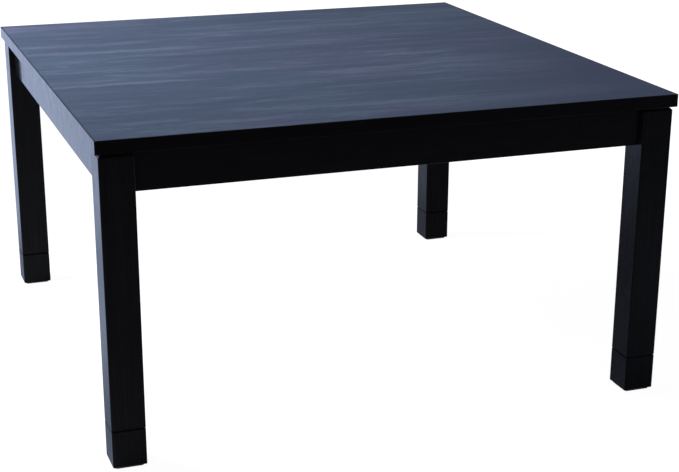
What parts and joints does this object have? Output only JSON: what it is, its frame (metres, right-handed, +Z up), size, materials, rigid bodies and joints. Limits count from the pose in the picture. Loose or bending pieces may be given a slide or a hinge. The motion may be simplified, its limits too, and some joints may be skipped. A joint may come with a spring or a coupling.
{
  "type": "kotatsu table",
  "caption": "Low square heated table: a loose wood-grain board on an apron frame with square legs, push-on leg extensions, and a fan heater hung under the board.",
  "frame": {"origin": "centre of the table on the floor, between its four feet", "axes": "+X along the front edge to the right, +Y from the front to the back, +Z up"},
  "size_m": [0.75, 0.75, 0.41],
  "materials": {
    "top_foil": "black wood-grain foil, satin",
    "edge_foil": "black edge band, satin",
    "board_backing": "black backing foil, matt",
    "chipboard": "raw chipboard",
    "black_wood": "black wood-grain foil on wood, satin",
    "stained_wood": "wood stained black, matt",
    "beech": "plain turned beech",
    "black_plastic": "black moulded plastic",
    "pad_rubber": "black rubber",
    "felt": "dark felt",
    "zinc_steel": "zinc-plated steel",
    "black_steel": "black heat-proof paint, matt",
    "bright_reflector": "bright aluminised sheet",
    "quartz": "clear quartz glass",
    "heating_wire": "oxidised resistance wire",
    "ceramic_white": "unglazed steatite",
    "motor_steel": "drawn steel",
    "pin_brass": "nickel-free brass",
    "safety_parts": "phenolic moulding"
  },
  "bodies": {
    "frame": {"leg_front_left": "black_wood", "leg_front_right": "black_wood", "leg_back_left": "black_wood", "leg_back_right": "black_wood", "leg_sleeves": "black_plastic", "board_pads": "pad_rubber", "apron_front": "black_wood", "apron_back": "black_wood", "apron_left": "black_wood", "apron_right": "black_wood", "corner_bracket_front_left": "zinc_steel", "corner_bracket_front_right": "zinc_steel", "corner_bracket_back_left": "zinc_steel", "corner_bracket_back_right": "zinc_steel", "hanger_bolts": "zinc_steel", "leg_washers": "zinc_steel", "leg_nuts": "zinc_steel", "bracket_screws": "zinc_steel", "rail_front": "stained_wood", "rail_back": "stained_wood", "rail_left": "stained_wood", "rail_right": "stained_wood", "heater_casing": "black_steel", "heater_reflector": "bright_reflector", "heater_guard": "black_steel", "heater_screws": "zinc_steel", "casing_screws": "zinc_steel", "quartz_tube": "quartz", "heating_coil": "heating_wire", "tube_holders": "ceramic_white", "tube_clip": "zinc_steel", "fan_motor": "motor_steel", "control_box": "black_plastic", "inlet_socket": "black_plastic", "inlet_pins": "pin_brass", "thermostat": "safety_parts", "thermal_fuse": "safety_parts", "terminal_block": "safety_parts"},
    "board": {"board_core": "chipboard", "top_face_sheet": "top_foil", "bottom_face_sheet": "board_backing", "edge_band_front": "edge_foil", "edge_band_back": "edge_foil", "edge_band_left": "edge_foil", "edge_band_right": "edge_foil"},
    "fan": {"fan_rotor": "black_plastic", "motor_shaft": "zinc_steel"},
    "extension_front_left": {"leg_extension_front_left": "black_wood", "extension_peg_front_left": "beech", "foot_pad_front_left": "felt"},
    "extension_front_right": {"leg_extension_front_right": "black_wood", "extension_peg_front_right": "beech", "foot_pad_front_right": "felt"},
    "extension_back_left": {"leg_extension_back_left": "black_wood", "extension_peg_back_left": "beech", "foot_pad_back_left": "felt"},
    "extension_back_right": {"leg_extension_back_right": "black_wood", "extension_peg_back_right": "beech", "foot_pad_back_right": "felt"}
  },
  "joints": [
    {"name": "board_lift", "type": "slide", "parent": "frame", "child": "board", "axis": [0, 0, 1], "range_m": [0, 0.3]},
    {"name": "fan_spin", "type": "hinge", "parent": "frame", "child": "fan", "pos_m": [0, -0.02, 0.3575], "axis": [0, 0, 1], "continuous": true},
    {"name": "extension_front_left_pull", "type": "slide", "parent": "frame", "child": "extension_front_left", "axis": [0, 0, -1], "range_m": [0, 0.032]},
    {"name": "extension_front_right_pull", "type": "slide", "parent": "frame", "child": "extension_front_right", "axis": [0, 0, -1], "range_m": [0, 0.032]},
    {"name": "extension_back_left_pull", "type": "slide", "parent": "frame", "child": "extension_back_left", "axis": [0, 0, -1], "range_m": [0, 0.032]},
    {"name": "extension_back_right_pull", "type": "slide", "parent": "frame", "child": "extension_back_right", "axis": [0, 0, -1], "range_m": [0, 0.032]}
  ]
}
